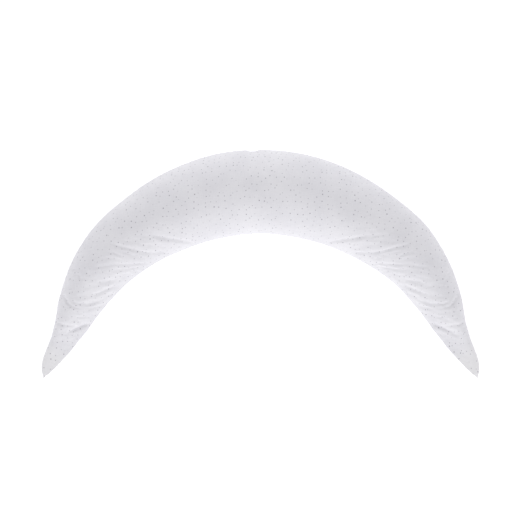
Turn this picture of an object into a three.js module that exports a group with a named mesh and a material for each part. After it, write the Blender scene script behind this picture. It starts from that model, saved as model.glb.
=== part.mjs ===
// A crescent pregnancy pillow of printed cotton, stuffed, lying on its back on a flat surface.
// Millimetres, +Z up. +Y points from the tips to the middle of the arch. The origin lies on the
// surface that the pillow rests on, under the centre of its box.
import * as THREE from "three";

// Half of the crescent, from the middle of the arch to one tip; the other half mirrors it.
// x, y: a point of the line midway between the two seams, with y measured from the tips.
// half: half of the width there. height: from the surface to the crown.
const SECTIONS = [
  { x: 0, y: 513, half: 115, height: 190 },
  { x: 92, y: 505, half: 115, height: 190 },
  { x: 180, y: 482, half: 111, height: 186 },
  { x: 261, y: 446, half: 105, height: 177 },
  { x: 330, y: 405, half: 98, height: 164 },
  { x: 388, y: 360, half: 92, height: 147 },
  { x: 436, y: 308, half: 82, height: 126 },
  { x: 472, y: 254, half: 72, height: 102 },
  { x: 502, y: 198, half: 60, height: 78 },
  { x: 517, y: 164, half: 52, height: 62 },
  { x: 529, y: 139, half: 45, height: 47 },
  { x: 539, y: 120, half: 40, height: 35 },
  { x: 551, y: 97, half: 35, height: 23 },
  { x: 571, y: 65, half: 28, height: 12 },
  { x: 586, y: 40, half: 22, height: 8 },
  { x: 596, y: 19, half: 14, height: 6 },
  { x: 604, y: 0, half: 3, height: 5 },
];

// The two seams run along the sides, a little below half of the height.
const SEAM_SHARE = 0.45;
// Above the seams the section is an ellipse, filled out a little by this power.
const CROWN_POWER = 0.93;
// Below them it rounds in to the flat base, which starts at this share of the quarter turn's sine.
const BASE_SINE = 0.9;
const BELLY_POWER = 1.5;
// The filling ends on a slant and a bow: so much further along at the outer seam than at the
// midline, and the bow back again towards both seams.
const FILL_SLANT = 38;
const FILL_BOW = 14;

// Creases in the cloth of one arm, mirrored on the other, each a soft trough seen from above.
// Its line runs from the inner seam outwards through its points, with y measured from the tips.
// width: from the middle of the trough to where it has mostly faded.
const CREASES = [
  { width: 8, depth: 4, line: [[179, 370], [205, 375], [261, 384], [317, 393]] },
  { width: 8, depth: 5, line: [[248, 345], [308, 343], [334, 349], [382, 361], [412, 369]] },
  { width: 7, depth: 3, line: [[317, 314], [356, 313], [395, 312], [434, 310]] },
  { width: 7, depth: 2, line: [[326, 306], [360, 300], [390, 298], [413, 297]] },
  { width: 7, depth: 4, line: [[360, 290], [395, 273], [420, 266], [451, 260]] },
  { width: 7, depth: 4, line: [[395, 257], [421, 243], [445, 234], [464, 226]] },
  { width: 7, depth: 4, line: [[429, 221], [446, 211], [472, 204], [507, 206], [529, 213]] },
  { width: 7, depth: 3, line: [[451, 195], [494, 191], [524, 198], [537, 213], [550, 232]] },
  { width: 9, depth: 6, line: [[468, 150], [490, 142], [511, 133], [537, 122]] },
];

// A crease is shallower where the cloth lies lower than this.
const FULL_CREASE_HEIGHT = 40;
// It fades towards both ends by this power of a sine.
const CREASE_END_POWER = 0.5;

// A short pinch of the outer seam, just beside the middle of the arch. It starts at this distance
// from the tips and is whole at the next one.
const PINCH = { x: -22, width: 12, depth: 4, start: 590, whole: 630 };

// Facets: along the pillow, across the top, and across the base. The rings lie closer towards the
// tips than in the middle of the arch, by this share of their mean gap.
const RINGS = 158;
const CROWDING = 0.4;
const TOP_STEPS = 22;
const BASE_STEPS = 12;
const CREASE_STEPS = 24;

// The table as two smooth curves that share one parameter: the midline, and half width with height.
function mirroredCurve(first, second, mirrorSign) {
  const points = SECTIONS.map((row) => new THREE.Vector2(row[first], row[second]));
  const mirrored = points.slice(1).reverse();
  const left = mirrored.map((point) => new THREE.Vector2(mirrorSign * point.x, point.y));
  return new THREE.SplineCurve([...left, ...points]);
}

const MIDLINE = mirroredCurve("x", "y", -1);
const GIRTH = mirroredCurve("half", "height", 1);
MIDLINE.arcLengthDivisions = 1000;

// Half width and height at a share of the way from tip to tip, measured along the midline.
function girthAt(share) {
  return GIRTH.getPoint(MIDLINE.getUtoTmapping(THREE.MathUtils.clamp(share, 0, 1)));
}

// Height of the crown there, read further back or further on along the arm, because the filling
// ends on a slant.
function crownHeight(share, across) {
  const arm = Math.sign(share - 0.5);
  const shift = (FILL_SLANT * across - FILL_BOW * across ** 2) / MIDLINE.getLength();
  return girthAt(share - arm * shift).y;
}

// Each crease as a row of points along its smooth line, with the depth of its trough at each.
const CREASE_ROWS = CREASES.map(({ line, width, depth }) => {
  const points = line.map(([x, y]) => new THREE.Vector2(x, y));
  const places = new THREE.SplineCurve(points).getPoints(CREASE_STEPS);
  return places.map((place, i) => {
    const share = (i + 1) / (CREASE_STEPS + 2);
    return { place, width, depth: depth * Math.sin(Math.PI * share) ** CREASE_END_POWER };
  });
});

// How deep the creases are at a point seen from above.
function creaseDepth(x, y) {
  const here = new THREE.Vector2(Math.abs(x), y);
  const depths = CREASE_ROWS.flat().map(({ place, width, depth }) => {
    const away = here.distanceTo(place) / width;
    return depth * Math.exp(-away * away);
  });
  return Math.max(...depths);
}

// One point of the cover. turn runs from 0 at the inner seam to 1 at the outer one, over the top
// for side 1 and under the base for side -1.
function coverPoint(share, turn, side) {
  const centre = MIDLINE.getPointAt(share);
  const along = MIDLINE.getTangentAt(share);
  const outward = new THREE.Vector2(-along.y, along.x);
  const across = -Math.cos(Math.PI * turn);
  const rise = Math.sin(Math.PI * turn);
  const height = crownHeight(share, across);
  const seam = SEAM_SHARE * height;
  const half = girthAt(share).x;
  const plan = centre.clone().addScaledVector(outward, across * half);
  if (side < 0) {
    const gap = Math.max(0, 1 - rise / BASE_SINE);
    return new THREE.Vector3(plan.x, plan.y, seam * gap ** BELLY_POWER);
  }
  const top = seam + (height - seam) * rise ** CROWN_POWER;
  const deep = creaseDepth(plan.x, plan.y) * Math.min(1, top / FULL_CREASE_HEIGHT);
  const inward = centre.clone().sub(plan).setLength(deep * Math.abs(across));
  plan.add(inward);
  return new THREE.Vector3(plan.x, plan.y, top - deep * rise);
}

// A ring of points round the pillow, from the inner seam over the top and back under the base.
function ring(share) {
  const over = Array.from({ length: TOP_STEPS }, (_, i) => coverPoint(share, i / TOP_STEPS, 1));
  const under = Array.from({ length: BASE_STEPS }, (_, i) => coverPoint(share, 1 - i / BASE_STEPS, -1));
  return [...over, ...under].map((point) => pinched(point));
}

// The same point, drawn in where the outer seam is pinched.
function pinched(point) {
  const away = (point.x - PINCH.x) / PINCH.width;
  const outer = THREE.MathUtils.smoothstep(point.y, PINCH.start, PINCH.whole);
  point.y -= PINCH.depth * outer * Math.exp(-away * away);
  return point;
}

// Where ring i of the pillow lies, as a share of the way from tip to tip.
function ringShare(i) {
  const even = i / RINGS;
  return even - (CROWDING * Math.sin(2 * Math.PI * even)) / (2 * Math.PI);
}

// Rings from tip to tip, joined by quads, with a fan of triangles to close each tip.
function pillowGeometry() {
  const count = RINGS;
  const rings = Array.from({ length: count + 1 }, (_, i) => ring(ringShare(i)));
  const size = TOP_STEPS + BASE_STEPS;
  const positions = rings.flat().flatMap((point) => point.toArray());
  const faces = [];
  for (let i = 0; i < count; i++) {
    for (let j = 0; j < size; j++) {
      const a = i * size + j;
      const b = i * size + ((j + 1) % size);
      faces.push(a, a + size, b, b, a + size, b + size);
    }
  }
  for (let j = 1; j < size - 1; j++) {
    const last = count * size;
    faces.push(0, j, j + 1, last, last + j + 1, last + j);
  }
  const geometry = new THREE.BufferGeometry();
  geometry.setAttribute("position", new THREE.Float32BufferAttribute(positions, 3));
  geometry.setIndex(faces);
  geometry.computeBoundingBox();
  const centre = geometry.boundingBox.getCenter(new THREE.Vector3());
  geometry.translate(-centre.x, -centre.y, -geometry.boundingBox.min.z);
  geometry.computeVertexNormals();
  return geometry;
}

const printedCotton = new THREE.MeshStandardMaterial({
  color: 0xe4e3e8,
  roughness: 0.9,
  metalness: 0,
});

const pillow = new THREE.Mesh(pillowGeometry(), printedCotton);
pillow.name = "crescent_pillow";

const model = new THREE.Group();
model.add(pillow);

export default model;
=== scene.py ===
import math
from collections import namedtuple

import bpy
import numpy as np
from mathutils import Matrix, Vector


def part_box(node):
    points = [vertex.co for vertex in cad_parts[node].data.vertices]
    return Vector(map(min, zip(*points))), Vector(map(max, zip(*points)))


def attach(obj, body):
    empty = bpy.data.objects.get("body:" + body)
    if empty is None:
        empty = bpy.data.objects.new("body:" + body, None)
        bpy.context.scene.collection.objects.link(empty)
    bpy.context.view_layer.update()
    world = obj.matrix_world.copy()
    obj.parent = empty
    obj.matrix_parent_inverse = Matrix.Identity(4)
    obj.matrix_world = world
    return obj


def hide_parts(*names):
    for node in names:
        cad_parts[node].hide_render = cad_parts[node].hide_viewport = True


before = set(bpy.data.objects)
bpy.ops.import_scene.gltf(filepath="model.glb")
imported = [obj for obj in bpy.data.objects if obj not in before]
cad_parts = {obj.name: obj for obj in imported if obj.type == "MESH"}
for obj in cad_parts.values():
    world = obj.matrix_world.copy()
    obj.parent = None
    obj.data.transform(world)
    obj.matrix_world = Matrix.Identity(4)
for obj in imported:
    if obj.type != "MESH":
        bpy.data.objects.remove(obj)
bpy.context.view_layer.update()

# The camera hangs straight above the pillow and looks down on its face. It is far away and has a
# long lens, so that the raised arch is drawn hardly any larger than the flat tips.
CAMERA_HEIGHT = 10.0
SENSOR_WIDTH_MM = 36
# The picture is this many metres wide at the height of the seams.
VIEW_WIDTH = 1.435
VIEW_PLANE = 0.085
VIEW_CENTRE = (-0.0014, 0.0115)

bpy.ops.object.select_all(action="DESELECT")
bpy.ops.object.camera_add(location=(*VIEW_CENTRE, CAMERA_HEIGHT), rotation=(0, 0, 0))
camera = bpy.context.object
camera.name = "camera_above"
camera.data.sensor_width = SENSOR_WIDTH_MM
camera.data.lens = SENSOR_WIDTH_MM * (CAMERA_HEIGHT - VIEW_PLANE) / VIEW_WIDTH
bpy.context.scene.camera = camera

# The floor that the pillow lies on: one large sheet of laminate, pressed with a matt white face.
# It glows a little, so that it stays plain white all round the pillow.
FLOOR_SIZE = 14.0
FLOOR_GLOW = 0.38
FLOOR_COLOUR = "f7f7f7"
FLOOR_TONES = ("f4f4f4", "fafafa")
FLOOR_PATCHES_PER_METRE = 3.0
FLOOR_ROUGHNESS = 0.9
FLOOR_GLOSS = 0.2


def linear(hex_colour):
    """A linear colour with alpha from an sRGB hex one."""
    parts = [int(hex_colour[k : k + 2], 16) / 255 for k in (0, 2, 4)]
    return (*[c / 12.92 if c <= 0.04045 else ((c + 0.055) / 1.055) ** 2.4 for c in parts], 1)


def new_material(name, colour, roughness):
    """A node material, with its tree and its Principled shader."""
    material = bpy.data.materials.new(name)
    material.use_nodes = True
    shader = material.node_tree.nodes["Principled BSDF"]
    shader.inputs["Base Color"].default_value = linear(colour)
    shader.inputs["Roughness"].default_value = roughness
    return material, material.node_tree, shader


def add_node(tree, kind, settings=(), values=(), links=()):
    """Adds a node with its settings, its input values and what its inputs are linked to."""
    node = tree.nodes.new("ShaderNode" + kind)
    for name, value in dict(settings).items():
        setattr(node, name, value)
    for name, value in dict(values).items():
        node.inputs[name].default_value = value
    for name, source in dict(links).items():
        tree.links.new(source, node.inputs[name])
    return node


bpy.ops.mesh.primitive_plane_add(size=FLOOR_SIZE, location=(0, 0, 0))
floor = bpy.context.object
floor.name = "white_floor"
# Matt white laminate has no gloss, and a faint change of tone every few hundred millimetres.
laminate, tree, shader = new_material("matt_white_laminate", FLOOR_COLOUR, FLOOR_ROUGHNESS)
shader.inputs["Specular IOR Level"].default_value = FLOOR_GLOSS
shader.inputs["Emission Color"].default_value = (1, 1, 1, 1)
shader.inputs["Emission Strength"].default_value = FLOOR_GLOW
floor_place = add_node(tree, "TexCoord").outputs["Object"]
patches = add_node(
    tree,
    "TexNoise",
    values={"Scale": FLOOR_PATCHES_PER_METRE, "Detail": 2.0},
    links={"Vector": floor_place},
)
floor_tone = add_node(tree, "ValToRGB", links={"Fac": patches.outputs["Fac"]})
for stop, tone_colour in enumerate(FLOOR_TONES):
    floor_tone.color_ramp.elements[stop].color = linear(tone_colour)
tree.links.new(floor_tone.outputs["Color"], shader.inputs["Base Color"])
floor.data.materials.append(laminate)

# The lamps: long soft strips low all round the pillow, and a small lamp above the arch. The two
# strongest strips stand off the two tips: they make the side inside the arch the brightest and the
# crown the darkest, as on a white table. Degrees, metres and watts.
Lamp = namedtuple("Lamp", "name azimuth elevation distance width height power")
LAMPS = [
    Lamp("strip_off_left_tip", 230, 12, 3.6, 2.6, 0.6, 28.8),
    Lamp("strip_off_right_tip", -50, 12, 3.6, 2.6, 0.6, 28.8),
    Lamp("strip_behind_arch", 90, 12, 3.6, 2.6, 0.6, 24.5),
    Lamp("strip_left", 180, 12, 3.6, 2.6, 0.6, 3.2),
    Lamp("strip_right", 0, 12, 3.6, 2.6, 0.6, 3.2),
    Lamp("lamp_above_arch", 90, 80, 1.5, 0.7, 0.7, 2.9),
]
for lamp in LAMPS:
    azimuth, elevation = math.radians(lamp.azimuth), math.radians(lamp.elevation)
    away = (
        math.cos(azimuth) * math.cos(elevation),
        math.sin(azimuth) * math.cos(elevation),
        math.sin(elevation),
    )
    bpy.ops.object.light_add(
        type="AREA",
        location=[lamp.distance * part for part in away],
        rotation=(math.pi / 2 - elevation, 0, azimuth + math.pi / 2),
    )
    light = bpy.context.object
    light.name = lamp.name
    light.data.shape = "RECTANGLE"
    light.data.size = lamp.width
    light.data.size_y = lamp.height
    light.data.energy = lamp.power
    light.visible_camera = False

# The white walls and ceiling round the floor, which fill the shadows evenly.
SURROUND_STRENGTH = 0.585
surround = bpy.data.worlds.new("white_surround")
bpy.context.scene.world = surround
surround.use_nodes = True
surround.node_tree.nodes["Background"].inputs["Color"].default_value = (1, 1, 1, 1)
surround.node_tree.nodes["Background"].inputs["Strength"].default_value = SURROUND_STRENGTH
bpy.context.scene.view_settings.view_transform = "Standard"

# The filled cover. A front and a back panel of printed cotton, each cut as a crescent, are sewn
# together along both edges, turned right side out and stuffed through a gap. The filling rounds
# the arch and the arms, lies flat on its back, and ends short of the two tips, which stay flat.
MM = 0.001
Section = namedtuple("Section", "x y half height")
# Half of the crescent in millimetres, from the middle of the arch to one tip. x, y: a point midway
# between the two seams, y from the tips. half: half of the width. height: up to the crown.
SECTIONS = [
    Section(0, 513, 115, 190),
    Section(92, 505, 115, 190),
    Section(180, 482, 111, 186),
    Section(261, 446, 105, 177),
    Section(330, 405, 98, 164),
    Section(388, 360, 92, 147),
    Section(436, 308, 82, 126),
    Section(472, 254, 72, 102),
    Section(502, 198, 60, 78),
    Section(517, 164, 52, 62),
    Section(529, 139, 45, 47),
    Section(539, 120, 40, 35),
    Section(551, 97, 35, 23),
    Section(571, 65, 28, 12),
    Section(586, 40, 22, 8),
    Section(596, 19, 14, 6),
    Section(604, 0, 3, 5),
]
X, Y, HALF, HEIGHT = range(len(Section._fields))
# The two seams run along the sides at this share of the height. Above them the section is an
# ellipse, filled out a little by a power.
SEAM_SHARE = 0.45
CROWN_POWER = 0.93
# Below them a belly rounds in to the flat base, which starts at this share of the turn's sine.
BELLY_POWER = 1.5
BASE_SINE = 0.9
# The filling ends later at the outer seam than at the inner one, along a bowed line.
FILL_SLANT = 38
FILL_BOW = 14

# The cloth has so many stretches along the pillow, and so many steps across each panel, which lie
# closer towards the seams. Once it has settled, each is split in two.
STATIONS = 328
PANEL_STEPS = 38
SEAM_CROWDING = 0.35
FINER = 2
# The table is read by real distance along it, from so many points of its smooth curve.
TABLE_POINTS = 4000
TINY = 1e-12


def smooth_row(points, shares):
    """Places on a smooth curve through all the points, at shares of the way along it."""
    last = len(points) - 1
    place = np.clip(shares, 0, 1) * last
    first = np.minimum(place.astype(int), last - 1)
    rest = (place - first).reshape(-1, *[1] * (points.ndim - 1))
    before, start, end, after = (points[np.clip(first + k, 0, last)] for k in (-1, 0, 1, 2))
    leave, arrive = (end - before) / 2, (after - start) / 2
    return (
        (2 * start - 2 * end + leave + arrive) * rest**3
        + (3 * end - 3 * start - 2 * leave - arrive) * rest**2
        + leave * rest
        + start
    )


def unit(vectors):
    """The same directions with a length of 1."""
    return vectors / np.maximum(np.linalg.norm(vectors, axis=-1, keepdims=True), TINY)


def lengths_along(points):
    """How far each point is along a line through all of them."""
    steps = np.linalg.norm(np.diff(points, axis=0), axis=-1)
    return np.concatenate([np.zeros((1, *steps.shape[1:])), np.cumsum(steps, axis=0)])


# The whole table, from the left tip to the right one. The left half mirrors the right one.
half_table = np.array(SECTIONS, float)
whole_table = np.concatenate([half_table[:0:-1] * (-1, 1, 1, 1), half_table])
fine_table = smooth_row(whole_table, np.linspace(0, 1, TABLE_POINTS))
fine_length = lengths_along(fine_table[:, (X, Y)])
total_length = fine_length[-1]


def table_at(distance, column):
    """One column of the table at distances along the midline."""
    return np.interp(distance, fine_length, fine_table[:, column])


def midline_at(distance):
    """Points of the midline and the directions from it to the outer seam."""
    middle = np.stack([table_at(distance, column) for column in (X, Y)], axis=1)
    along = unit(np.gradient(middle, axis=0))
    return middle, np.stack([-along[:, 1], along[:, 0]], axis=1)


def cover_shape(distance, steps):
    """Points of the cover in millimetres, (stations, front and back, steps), each row of a panel
    from the inner seam to the outer one."""
    middle, outward = midline_at(distance)
    half = table_at(distance, HALF)
    share = np.linspace(0, 1, steps + 1)
    turn = np.pi * share - SEAM_CROWDING / 2 * np.sin(2 * np.pi * share)
    across, rise = -np.cos(turn), np.sin(turn)
    arm_side = np.sign(distance - total_length / 2)[:, None]
    fill_shift = arm_side * (FILL_SLANT * across - FILL_BOW * across**2)
    height = table_at(distance[:, None] - fill_shift, HEIGHT)
    plan = middle[:, None] + outward[:, None] * (across * half[:, None])[..., None]
    seam = SEAM_SHARE * height
    top = seam + (height - seam) * rise**CROWN_POWER
    base = seam * np.maximum(0, 1 - rise / BASE_SINE) ** BELLY_POWER
    return np.stack([np.concatenate([plan, z[..., None]], axis=2) for z in (top, base)], axis=1)


# Stations lie evenly along the crown, so they are closer where the filling ends steeply.
crown_length = lengths_along(fine_table[:, (X, Y, HEIGHT)])
distance = np.interp(np.linspace(0, crown_length[-1], STATIONS + 1), crown_length, fine_length)
cover = cover_shape(distance, PANEL_STEPS)
lowest_tip = cover[..., 1].min()


def as_rings(cover):
    """Both panels as closed rings: over the front to the outer seam and back underneath."""
    return np.concatenate([cover[:, 0, :-1], cover[:, 1, :0:-1]], axis=1)


def as_panels(rings):
    """The rings cut at the seams, as (stations, front and back, steps)."""
    steps = rings.shape[1] // 2
    front = rings[:, : steps + 1]
    back = np.concatenate([rings[:, :1], rings[:, : steps - 1 : -1]], axis=1)
    return np.stack([front, back], axis=1)


def outward_normals(rings):
    """The direction straight out of the cloth at each point."""
    along = np.gradient(rings, axis=0)
    around = np.roll(rings, -1, axis=1) - np.roll(rings, 1, axis=1)
    return unit(np.cross(along, around))


# Creases where the arms bend and where the filling ends, the same on both arms: a line in plan
# from the inner seam outwards, y from the tips, with the half width and the depth of its trough.
Crease = namedtuple("Crease", "width depth line")
CREASES = [
    Crease(5, 3, [(179, 370), (205, 375), (261, 384), (317, 393)]),
    Crease(4.5, 2.4, [(248, 345), (308, 343), (334, 349), (382, 361), (412, 369)]),
    Crease(4, 2, [(317, 314), (356, 313), (395, 312), (434, 310)]),
    Crease(4, 2, [(326, 306), (360, 300), (390, 298), (413, 297)]),
    Crease(5, 2, [(360, 290), (395, 273), (420, 266), (451, 260)]),
    Crease(5, 2, [(395, 257), (421, 243), (445, 234), (464, 226)]),
    Crease(4, 2, [(429, 221), (446, 211), (472, 204), (495, 203), (516, 208)]),
    Crease(3.5, 1.3, [(451, 195), (494, 191), (524, 198), (537, 213), (547, 227)]),
    Crease(6, 4, [(468, 150), (490, 142), (511, 133), (537, 122)]),
    Crease(4, 1.6, [(543, 142), (553, 147), (563, 152)]),
]
# A crease is measured from points this far apart on its line, out to so many of its widths.
CREASE_POINT_GAP = 1.2
CREASE_WIDTHS = 3
# It fades towards both ends like a sine to a power, cut off at this share of the half turn, and it
# is shallower where the cloth lies lower than this.
CREASE_END_SHARE = 0.03
CREASE_END_POWER = 0.8
FULL_CREASE_HEIGHT = 25


def trough_depth(rings, creases, width_share=1.0):
    """How deep the creases go at each point, seen from above."""
    depth = np.zeros(rings.shape[:2])
    for crease in creases:
        line = np.array(crease.line, float)
        points = int(lengths_along(line)[-1] / CREASE_POINT_GAP) + 2
        line = smooth_row(line, np.linspace(0, 1, points))
        width = crease.width * width_share
        low = line.min(axis=0) - CREASE_WIDTHS * width
        high = line.max(axis=0) + CREASE_WIDTHS * width
        beside = np.all((rings[..., :2] > low) & (rings[..., :2] < high), axis=-1)
        away = np.linalg.norm(rings[beside][:, None, :2] - line, axis=-1)
        if not away.size:
            continue
        share = away.argmin(axis=1) / (points - 1)
        half_turn = np.pi * (CREASE_END_SHARE + (1 - 2 * CREASE_END_SHARE) * share)
        fade = np.sin(half_turn) ** CREASE_END_POWER
        trough = crease.depth * fade * np.exp(-((away.min(axis=1) / width) ** 2))
        depth[beside] = np.maximum(depth[beside], trough)
    return depth * np.clip(rings[..., 2] / FULL_CREASE_HEIGHT, 0, 1)


def on_both_arms(creases):
    """The creases of one arm, and their mirror images on the other."""
    return creases + [
        crease._replace(line=[(-x, y) for x, y in crease.line]) for crease in creases
    ]


# The cloth is let settle over the filling. It is too long by up to this share, on the inner side
# where the arms bend and all across where the filling ends, so there it buckles into folds.
SLACK = 0.07
# Rows of a share of the arm, from the middle of the arch to the tip, with a share of the slack.
BEND_SLACK = ((0, 0), (0.18, 0.1), (0.3, 0.8), (0.45, 1), (0.8, 1), (0.88, 0.8), (0.92, 0))
FILL_END_SLACK = ((0.62, 0), (0.74, 0.5), (0.84, 0.8), (0.9, 0))
# The slack of the bends fades from the inner seam over this share of the way across. All slack
# fades where the cloth lies low: rows of a height with a share.
SLACK_REACH = 0.85
SLACK_HEIGHTS = ((4, 0), (24, 1))
# The cloth is held where it lies on the surface, and beyond the filling: rows of a height, and of a
# share of the arm, with how firmly.
HELD_HEIGHTS = ((0, 1), (12, 0))
HELD_ARM = ((0.84, 0), (0.9, 1))
# It starts this much uneven, as stuffed by hand, and the filling presses it outwards.
UNEVENNESS = 0.15
UNEVEN_SEED = 7
FILLING_PRESSURE = 4.0
STRETCH_STIFFNESS = 15
SHEAR_STIFFNESS = 5
BENDING_STIFFNESS = 0.3
SETTLING_FRAMES = 16


def read_off(rows, places):
    """Values at places, read between rows of a place with its value."""
    return np.interp(places, *np.transpose(rows))


rings = as_rings(cover)
arm_share = np.abs(distance / total_length - 0.5)[:, None] * 2
turn_share = np.concatenate(
    [np.linspace(*ends, PANEL_STEPS, endpoint=False) for ends in ((0, 1), (1, 0))]
)
inner_share = np.clip(1 - turn_share / SLACK_REACH, 0, 1)[None]
slack = np.maximum(read_off(BEND_SLACK, arm_share) * inner_share, read_off(FILL_END_SLACK, arm_share))
slack = slack * read_off(SLACK_HEIGHTS, rings[..., 2])
held = np.maximum(read_off(HELD_HEIGHTS, rings[..., 2]), read_off(HELD_ARM, arm_share))
uneven = np.random.default_rng(UNEVEN_SEED).normal(size=rings.shape[:2]) * UNEVENNESS
troughs = trough_depth(rings, on_both_arms(CREASES))
unsettled = rings + outward_normals(rings) * (uneven - troughs)[..., None]


def quad_places(stations, ring):
    """The row of each quad between neighbouring rings, and its place in that row."""
    return [part.ravel() for part in np.indices((stations - 1, ring))]


def ring_faces(stations, ring):
    """The quads between neighbouring rings, pointing outwards."""
    row, place = quad_places(stations, ring)
    here, after = row * ring + place, row * ring + (place + 1) % ring
    return np.stack([here, here + ring, after + ring, after], 1)


def settled(rings, slack, held):
    """The rings of points after the cloth has settled over the filling."""
    stations, ring = rings.shape[:2]
    last_ring = (stations - 1) * ring
    caps = [list(range(ring)), list(range(last_ring + ring - 1, last_ring - 1, -1))]
    faces = ring_faces(stations, ring).tolist() + caps
    mesh = bpy.data.meshes.new("settling_cloth")
    mesh.from_pydata((rings.reshape(-1, 3) * MM).tolist(), [], faces)
    cloth = bpy.data.objects.new("settling_cloth", mesh)
    bpy.context.collection.objects.link(cloth)
    for name, weights in (("slack", slack), ("held", held)):
        group = cloth.vertex_groups.new(name=name)
        for k, weight in enumerate(np.broadcast_to(weights, rings.shape[:2]).ravel().tolist()):
            group.add([k], weight, "REPLACE")
    modifier = cloth.modifiers.new("settling", "CLOTH")
    settings = modifier.settings
    settings.tension_stiffness = STRETCH_STIFFNESS
    settings.compression_stiffness = STRETCH_STIFFNESS
    settings.shear_stiffness = SHEAR_STIFFNESS
    settings.bending_stiffness = BENDING_STIFFNESS
    settings.use_pressure = True
    settings.uniform_pressure_force = FILLING_PRESSURE
    settings.effector_weights.gravity = 0
    # A negative shrinkage lets the cloth grow, and the mass group is the one that is held.
    settings.shrink_min = 0
    settings.shrink_max = -SLACK
    settings.vertex_group_shrink = "slack"
    settings.vertex_group_mass = "held"
    modifier.collision_settings.use_collision = False
    modifier.point_cache.frame_end = SETTLING_FRAMES
    for step in range(1, SETTLING_FRAMES + 1):
        bpy.context.scene.frame_set(step)
    result = cloth.evaluated_get(bpy.context.evaluated_depsgraph_get()).data
    places = np.empty(rings.size, np.float32)
    result.vertices.foreach_get("co", places)
    bpy.data.objects.remove(cloth)
    bpy.data.meshes.remove(mesh)
    bpy.context.scene.frame_set(1)
    return places.reshape(rings.shape) / MM


def evened(rings, stations, steps):
    """The same points averaged with their neighbours, so that only the broad shape is left."""
    for _ in range(2):
        ends = np.pad(rings, [(stations, stations), (0, 0), (0, 0)], mode="edge")
        rings = np.mean([ends[k : k + len(rings)] for k in range(2 * stations + 1)], axis=0)
        rings = np.mean([np.roll(rings, k, axis=1) for k in range(-steps, steps + 1)], axis=0)
    return rings


# Only the folds are kept of this, and none goes further than the last value. The broad shape is
# what is left when each point is averaged with so many stations and steps on each side of it, and
# it stays as the section table has it.
BROAD_STATIONS = 8
BROAD_STEPS = 6
MOST_FOLD = 8
folded = settled(unsettled, slack, held)
folds = folded - rings
folds -= evened(folds, BROAD_STATIONS, BROAD_STEPS)
fold_size = np.linalg.norm(folds, axis=-1, keepdims=True)
folds *= MOST_FOLD * np.tanh(fold_size / MOST_FOLD) / np.maximum(fold_size, TINY)
cover = as_panels(rings + folds)

# The finer cloth between those points.
fine_stations = np.linspace(0, 1, FINER * STATIONS + 1)
fine_steps = np.linspace(0, 1, FINER * PANEL_STEPS + 1)
cover = smooth_row(cover, fine_stations)
cover = np.moveaxis(smooth_row(np.moveaxis(cover, 2, 0), fine_steps), 0, 2)
distance = np.interp(fine_stations, np.linspace(0, 1, STATIONS + 1), distance)

# Where each point lies on its flat panel: its cloth lengths to the two seams, laid off from the
# midline. They are taken before the small wrinkles, so that these don't stretch the print.
from_inner = np.moveaxis(lengths_along(np.moveaxis(cover, 2, 0)), 0, 2)
from_outer = from_inner[:, :, -1:] - from_inner
seam_distance = np.minimum(from_inner, from_outer)
middle, outward = midline_at(distance)
flat = middle[:, None, None] + outward[:, None, None] * ((from_inner - from_outer) / 2)[..., None]

# Small wrinkles fan out from the inner seam of the arms, the same on both. A loop places them over
# these shares of the arm, and of the half width, which is negative towards the inner seam.
WRINKLES = 100
WRINKLE_ARM = (0.36, 0.84)
WRINKLE_ACROSS = (-0.85, 0.0)
WRINKLE_LENGTHS = (22, 66)
WRINKLE_WIDTHS = (2.2, 4.0)
WRINKLE_DEPTHS = (0.8, 2.2)
WRINKLE_BOW = 0.15
# Rows of a distance from the tips, with the degrees by which they lean there, as the creases do,
# and by which they stray from that, which is more where the filling ends.
WRINKLE_LEAN = ((150, -20), (240, -22), (275, -17), (310, -2), (345, 5), (380, 9))
WRINKLE_STRAY = ((150, 28), (200, 16), (260, 8))
WRINKLE_SEED = 5
chance = np.random.default_rng(WRINKLE_SEED)


def across_pillow(at):
    """At one place: the midline's point, the direction to the outer seam, and the half width."""
    middle, outward = midline_at(at + np.array([-1.0, 0.0, 1.0]))
    return middle[1], outward[1], table_at(at, HALF)


def wrinkle(place, angle):
    """One short crease through a place, with a slight bow."""
    reach = chance.uniform(*WRINKLE_LENGTHS) / 2
    ahead = np.array([math.cos(angle), math.sin(angle)])
    bow = np.array([-ahead[1], ahead[0]]) * reach * chance.uniform(-WRINKLE_BOW, WRINKLE_BOW)
    line = [tuple(place - ahead * reach), tuple(place + bow), tuple(place + ahead * reach)]
    return Crease(chance.uniform(*WRINKLE_WIDTHS), chance.uniform(*WRINKLE_DEPTHS), line)


wrinkles = []
for share in np.linspace(*WRINKLE_ARM, WRINKLES, endpoint=False):
    midpoint, to_outer, half = across_pillow(total_length * (1 + share) / 2)
    place = midpoint + to_outer * half * chance.uniform(*WRINKLE_ACROSS)
    lean = read_off(WRINKLE_LEAN, place[1]) + chance.normal() * read_off(WRINKLE_STRAY, place[1])
    wrinkles.append(wrinkle(place, math.radians(lean)))

# Short puckers run into the cloth from the outer seam of the arch, at uneven distances, between
# these shares of the way from tip to tip.
PUCKER_SPAN = (0.16, 0.84)
PUCKER_GAPS = (14, 42)
PUCKER_REACH = (12, 34)
PUCKER_WIDTH = 3.2
PUCKER_DEPTHS = (0.4, 1.1)
puckers = []
at, last_at = (share * total_length for share in PUCKER_SPAN)
while at < last_at:
    at += chance.uniform(*PUCKER_GAPS)
    midpoint, to_outer, half = across_pillow(at)
    seam_end = midpoint + to_outer * half
    inner_end = seam_end - to_outer * chance.uniform(*PUCKER_REACH)
    line = [tuple(seam_end), tuple(inner_end)]
    puckers.append(Crease(PUCKER_WIDTH, chance.uniform(*PUCKER_DEPTHS), line))

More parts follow.
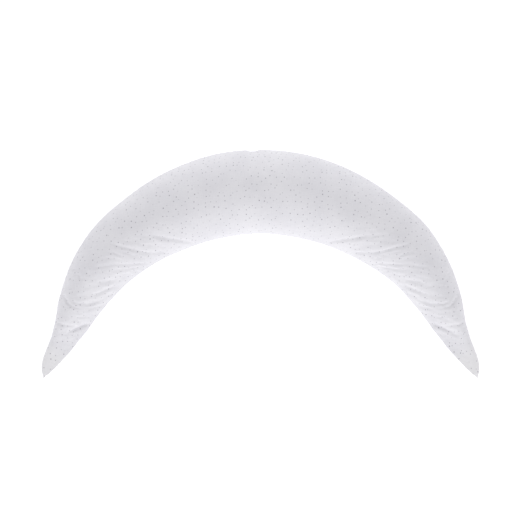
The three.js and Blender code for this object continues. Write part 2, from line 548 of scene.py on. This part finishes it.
# Beside the middle of the arch, where the outer seam is pinched, three gathers fan into the cloth.
GATHERS = [
    Crease(3.2, 1.3, [(-22, 628), (-19, 606), (-12, 584)]),
    Crease(3.4, 1.0, [(-17, 628), (0, 602), (14, 570)]),
    Crease(3.4, 0.9, [(-12, 628), (16, 604), (33, 572)]),
]

# The bottom of a crease is a narrow fold, of these shares of its width and depth.
FOLD_WIDTH = 0.5
FOLD_DEPTH = 0.75
rings = as_rings(cover)
creased = FOLD_DEPTH * trough_depth(rings, on_both_arms(CREASES), FOLD_WIDTH)
creased += trough_depth(rings, on_both_arms(wrinkles))
creased += trough_depth(rings, puckers + GATHERS)

# The seams draw the cloth in a little, and it ripples along them between the stitches. The phase
# and the size of the ripple change so many times along the pillow.
SEAM_DEPTH = 1.8
SEAM_WIDTH = 3.5
RIPPLE_LENGTH = 14
RIPPLE_DEPTH = 0.5
RIPPLE_REACH = 11
RIPPLE_WANDER = 1.5
PHASE_CHANGES = 60
SIZE_CHANGES = 90
seam_ring = as_rings(seam_distance)
sunk = SEAM_DEPTH * np.exp(-((seam_ring / SEAM_WIDTH) ** 2))
wander = smooth_row(chance.normal(size=PHASE_CHANGES) * RIPPLE_WANDER, fine_stations)
ripple_phase = 2 * np.pi * distance / RIPPLE_LENGTH + wander
ripple_size = RIPPLE_DEPTH * np.abs(smooth_row(chance.normal(size=SIZE_CHANGES), fine_stations))
rippled = (ripple_size * np.sin(ripple_phase))[:, None] * np.exp(-seam_ring / RIPPLE_REACH)

# The filling is a little lumpy under the cloth. The last lump of a ring is the first one again.
LUMP_SIZE = 80
LUMP_HEIGHT = 0.5
LUMPS_ROUND = 9
ring_shares = np.linspace(0, 1, rings.shape[1], endpoint=False)
lumps = chance.normal(size=(int(total_length / LUMP_SIZE), LUMPS_ROUND))
lumps[:, -1] = lumps[:, 0]
lumpy = LUMP_HEIGHT * smooth_row(smooth_row(lumps, fine_stations).T, ring_shares).T

# Seams, ripples and lumps fade out where the cloth lies lower than this.
FULL_RELIEF_HEIGHT = 20
raised = np.clip(rings[..., 2] / FULL_RELIEF_HEIGHT, 0, 1)
rings = rings + outward_normals(rings) * ((rippled + lumpy - sunk) * raised - creased)[..., None]

# A short pinch of the outer seam, just beside the middle of the arch. It starts at the first
# distance from the tips and is whole at the second, and its power makes its sides steep.
Pinch = namedtuple("Pinch", "x width depth start whole power")
PINCH = Pinch(x=-22, width=13, depth=4, start=590, whole=630, power=4)
outer_share = np.clip((rings[..., 1] - PINCH.start) / (PINCH.whole - PINCH.start), 0, 1)
beside_share = np.exp(-np.abs((rings[..., 0] - PINCH.x) / PINCH.width) ** PINCH.power)
rings[..., 1] -= PINCH.depth * outer_share**2 * (3 - 2 * outer_share) * beside_share

# Nothing reaches below the surface that the pillow lies on.
rings[..., 2] = np.maximum(rings[..., 2], 0)

# At both tips the seams meet in a point: over the last millimetres of the midline the cover
# narrows to this share of its width, and it reaches a little further away from the arch.
TIP_LENGTH = 9
TIP_END_SHARE = 0.1
TIP_REACH = 4.5
from_tip = np.minimum(distance, total_length - distance)
to_point = np.clip(1 - from_tip / TIP_LENGTH, 0, 1)[:, None]
ring_centres = rings.mean(axis=1, keepdims=True)
rings = ring_centres + (rings - ring_centres) * (1 - (1 - TIP_END_SHARE) * to_point)[..., None]
rings[..., 1] -= TIP_REACH * to_point
cover = as_panels(rings)

# Puts the millimetres of the table into the frame's metres.
low_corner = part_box("crescent_pillow")[0]
to_frame = np.array([0, low_corner[1] / MM - lowest_tip, 0])
cover = (cover + to_frame) * MM


def cover_mesh(name, cover, layers):
    """One closed mesh of both panels, with UV maps of a place in metres for each of its points."""
    stations, _, steps, _ = cover.shape
    ring = 2 * (steps - 1)
    faces = ring_faces(stations, ring)
    # Each quad lies on one panel between two of its steps, which run back on the back panel.
    row, place = quad_places(stations, ring)
    panel = np.repeat([0, 1], steps - 1)[place]
    step = np.concatenate([np.arange(steps - 1), np.arange(steps - 1, 0, -1)])[place]
    next_step = step + np.where(panel == 0, 1, -1)
    corners = [(row, step), (row + 1, step), (row + 1, next_step), (row, next_step)]
    # The two ends are closed from seam to seam, between the front and the back. Beside a seam two
    # corners of a quad are the same point, so it becomes a triangle.
    closing = []
    for end_row in (0, stations - 1):
        for k in range(steps - 1):
            quad = [k, k + 1, (ring - k - 1) % ring, (ring - k) % ring]
            quad = [end_row * ring + point for n, point in enumerate(quad) if point not in quad[:n]]
            closing.append(quad if end_row == 0 else quad[::-1])
    closing_row, closing_point = np.divmod(np.concatenate(closing), ring)
    closing_panel = (closing_point >= steps).astype(int)
    closing_step = np.where(closing_panel == 1, ring - closing_point, closing_point)
    mesh = bpy.data.meshes.new(name)
    mesh.from_pydata(as_rings(cover).reshape(-1, 3).tolist(), [], faces.tolist() + closing)
    for layer_name, places in layers.items():
        uv = np.empty((len(mesh.loops), 2))
        sides = np.stack([places[a, panel, b] for a, b in corners], axis=1)
        uv[: faces.size] = sides.reshape(-1, 2)
        uv[faces.size :] = places[closing_row, closing_panel, closing_step]
        mesh.uv_layers.new(name=layer_name).uv.foreach_set("vector", uv.ravel())
    mesh.polygons.foreach_set("use_smooth", np.ones(len(mesh.polygons), bool))
    mesh.validate()
    return mesh


# Two maps: the flat panels, with the back one well aside so that its print differs, and a place
# along the seams with the distance to the nearer one.
BACK_PANEL_ASIDE = 1000
flat[:, 1] += (0, BACK_PANEL_ASIDE)
along_seam = np.broadcast_to(distance[:, None, None], seam_distance.shape)
seam_places = np.stack([along_seam, seam_distance], axis=-1)
layers = {"flat_panels": flat * MM, "seam_places": seam_places * MM}
pillow_mesh = cover_mesh("crescent_cover", cover, layers)

# Two amounts for the material: how loose the cloth is, and where nothing fills it, from rows of
# the filling's height with a share. The second is painted light: it makes the thin tips paler, as
# light comes back through them from the white floor.
UNFILLED_HEIGHTS = ((8, 1), (18, 0))
looseness = smooth_row(smooth_row(slack, fine_stations).T, ring_shares).T
unfilled = read_off(UNFILLED_HEIGHTS, table_at(distance, HEIGHT))
unfilled = np.broadcast_to(unfilled[:, None], looseness.shape)
for name, amount in (("looseness", looseness), ("unfilled", unfilled)):
    attribute = pillow_mesh.attributes.new(name, "FLOAT", "POINT")
    attribute.data.foreach_set("value", amount.ravel().astype(np.float32))
pillow = bpy.data.objects.new("crescent_cover", pillow_mesh)
bpy.context.collection.objects.link(pillow)

# White cotton percale, woven plain and printed with pin dots. It is matt with a soft bloom at a
# glancing angle; the print is grey and thin, and every dot has taken a little differently.
COTTON = "e8e7ed"
COTTON_STOPS = ((0.35, "e4e3e9"), (0.65, "ecebf0"))
# Painted light: the thin tips are made paler, as light comes back through them from the white floor.
THIN_TIP_PAINTED_LIGHT = "f2f1f4"
COTTON_ROUGHNESS = 0.88
COTTON_GLOSS = 0.25
BLOOM = 0.1
BLOOM_ROUGHNESS = 0.45
cotton, tree, shader = new_material("printed_cotton_percale", COTTON, COTTON_ROUGHNESS)
shader.inputs["Sheen Weight"].default_value = BLOOM
shader.inputs["Sheen Roughness"].default_value = BLOOM_ROUGHNESS
shader.inputs["Specular IOR Level"].default_value = COTTON_GLOSS
flat_place = add_node(tree, "UVMap", {"uv_map": "flat_panels"}).outputs["UV"]
seam_place = add_node(tree, "UVMap", {"uv_map": "seam_places"}).outputs["UV"]
TIMES, PLUS, OVER, TIMES_PLUS = (
    {"operation": name} for name in ("MULTIPLY", "ADD", "DIVIDE", "MULTIPLY_ADD")
)

# The print, in millimetres: one dot near the middle of each cell, scattered by this share of it,
# and a size and a strength by chance for each.
DOT_COLOUR = "8e8a96"
DOT_SPACING = 17.5
DOT_SCATTER = 0.85
DOT_RADIUS = 1.4
DOT_EDGE = 0.5
DOT_SIZES = (0.7, 1.15)
DOT_STRENGTHS = (0.25, 0.95)
dots = add_node(
    tree,
    "TexVoronoi",
    {"voronoi_dimensions": "2D"},
    {"Scale": 1 / (DOT_SPACING * MM), "Randomness": DOT_SCATTER},
    {"Vector": flat_place},
)
by_chance = add_node(tree, "SeparateColor", links={"Color": dots.outputs["Color"]})
dot_size, dot_strength = (
    add_node(tree, "MapRange", {}, {"To Min": low, "To Max": high}, {"Value": by_chance.outputs[part]})
    for part, (low, high) in (("Green", DOT_SIZES), ("Red", DOT_STRENGTHS))
)
dot_reach = add_node(
    tree, "Math", OVER, {}, {0: dots.outputs["Distance"], 1: dot_size.outputs["Result"]}
)
inked = add_node(
    tree,
    "MapRange",
    {},
    {
        "From Min": (DOT_RADIUS - DOT_EDGE) / DOT_SPACING,
        "From Max": (DOT_RADIUS + DOT_EDGE) / DOT_SPACING,
        "To Min": 1.0,
        "To Max": 0.0,
    },
    {"Value": dot_reach.outputs["Value"]},
)
ink = add_node(
    tree, "Math", TIMES, {}, {0: inked.outputs["Result"], 1: dot_strength.outputs["Result"]}
).outputs["Value"]

# Slubs are thicker stretches of thread, along the cloth and across it. Blotches are where the
# cotton has bleached a little less. Both tint the cloth, by these shares.
SLUB_LENGTH = 22
SLUB_WIDTH = 1.6
BLOTCH_SIZE = 90
SLUB_SHARE = 0.25
BLOTCH_SHARE = 0.5
slubs = []
for length, width in ((SLUB_LENGTH, SLUB_WIDTH), (SLUB_WIDTH, SLUB_LENGTH)):
    stretched = add_node(
        tree,
        "Mapping",
        {},
        {"Scale": (1 / (length * MM), 1 / (width * MM), 1)},
        {"Vector": flat_place},
    )
    slub = add_node(
        tree,
        "TexNoise",
        {"noise_dimensions": "2D"},
        {"Scale": 1.0, "Detail": 1.0},
        {"Vector": stretched.outputs["Vector"]},
    )
    slubs.append(slub.outputs["Fac"])
slub_sum = add_node(tree, "Math", PLUS, {}, dict(enumerate(slubs))).outputs["Value"]
blotches = add_node(
    tree,
    "TexNoise",
    {"noise_dimensions": "2D"},
    {"Scale": 1 / (BLOTCH_SIZE * MM), "Detail": 2.0},
    {"Vector": flat_place},
)
blotch_tint = add_node(tree, "Math", TIMES, {1: BLOTCH_SHARE}, {0: blotches.outputs["Fac"]})
tint = add_node(
    tree, "Math", TIMES_PLUS, {1: SLUB_SHARE}, {0: slub_sum, 2: blotch_tint.outputs["Value"]}
)
cloth_colour = add_node(tree, "ValToRGB", links={"Fac": tint.outputs["Value"]})
for stop, (position, stop_colour) in enumerate(COTTON_STOPS):
    cloth_colour.color_ramp.elements[stop].position = position
    cloth_colour.color_ramp.elements[stop].color = linear(stop_colour)

# The thin shadow in the seam: its width in millimetres, the share of it that is whole, and how
# strong it is.
SEAM_SHADOW = "a5a5ae"
SHADOW_WIDTH = 0.8
SHADOW_WHOLE = 0.3
SHADOW_STRENGTH = 0.5
seam_parts = add_node(tree, "SeparateXYZ", links={"Vector": seam_place})
seam_shadow = add_node(
    tree,
    "MapRange",
    {},
    {
        "From Min": SHADOW_WHOLE * SHADOW_WIDTH * MM,
        "From Max": SHADOW_WIDTH * MM,
        "To Min": SHADOW_STRENGTH,
        "To Max": 0.0,
    },
    {"Value": seam_parts.outputs["Y"]},
).outputs["Result"]

# Over the cloth's own colour: painted light, a paler tone where nothing fills it and light from the
# white floor under it comes back through the thin cloth; the print; and the shadow in the seam.
# Sockets 0, 6 and 7 of a colour mix are its factor and its two colours.
painted_light_share = add_node(tree, "Attribute", {"attribute_name": "unfilled"}).outputs["Fac"]
colour = cloth_colour.outputs["Color"]
for share, over in ((painted_light_share, THIN_TIP_PAINTED_LIGHT), (ink, DOT_COLOUR), (seam_shadow, SEAM_SHADOW)):
    mix = add_node(tree, "Mix", {"data_type": "RGBA"}, {7: linear(over)}, {0: share, 6: colour})
    colour = mix.outputs[2]
tree.links.new(colour, shader.inputs["Base Color"])

# Relief in millimetres: the threads of both directions, the slubs, and crinkles, which are deeper
# where the cloth is loose. Threads lie 0.25 mm apart, too fine to show, so the weave is drawn eight
# times as coarse. A wave texture at scale 1 has this many waves in one unit.
THREAD_SPACING = 2.0
THREAD_RELIEF = 0.05
WAVES_PER_UNIT = 20 / (2 * math.pi)
SLUB_RELIEF = 0.12
CRINKLE_SIZE = 11
CRINKLE_RELIEF = 0.25
LOOSE_CRINKLE_RELIEF = 1.3
RELIEF_STRENGTH = 0.8
threads = [
    add_node(
        tree,
        "TexWave",
        {"wave_type": "BANDS", "bands_direction": direction, "wave_profile": "SIN"},
        {"Scale": 1 / (THREAD_SPACING * MM) / WAVES_PER_UNIT, "Distortion": 1.0},
        {"Vector": flat_place},
    ).outputs["Fac"]
    for direction in ("X", "Y")
]
weave = add_node(tree, "Math", TIMES, {}, dict(enumerate(threads))).outputs["Value"]
crinkles = add_node(
    tree,
    "TexNoise",
    {"noise_dimensions": "2D"},
    {"Scale": 1 / (CRINKLE_SIZE * MM), "Detail": 2.0, "Distortion": 0.6},
    {"Vector": flat_place},
)
loose = add_node(tree, "Attribute", {"attribute_name": "looseness"}).outputs["Fac"]
crinkle_depth = add_node(
    tree, "Math", TIMES_PLUS, {1: LOOSE_CRINKLE_RELIEF * MM, 2: CRINKLE_RELIEF * MM}, {0: loose}
)
woven = add_node(tree, "Math", TIMES, {1: THREAD_RELIEF * MM}, {0: weave}).outputs["Value"]
slubbed = add_node(
    tree, "Math", TIMES_PLUS, {1: SLUB_RELIEF * MM}, {0: slub_sum, 2: woven}
).outputs["Value"]
crinkled = add_node(
    tree,
    "Math",
    TIMES_PLUS,
    {},
    {0: crinkles.outputs["Fac"], 1: crinkle_depth.outputs["Value"], 2: slubbed},
)
bump = add_node(
    tree,
    "Bump",
    {},
    {"Distance": 1.0, "Strength": RELIEF_STRENGTH},
    {"Height": crinkled.outputs["Value"]},
)
tree.links.new(bump.outputs["Normal"], shader.inputs["Normal"])
pillow_mesh.materials.append(cotton)

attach(pillow, "root")
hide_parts("crescent_pillow")
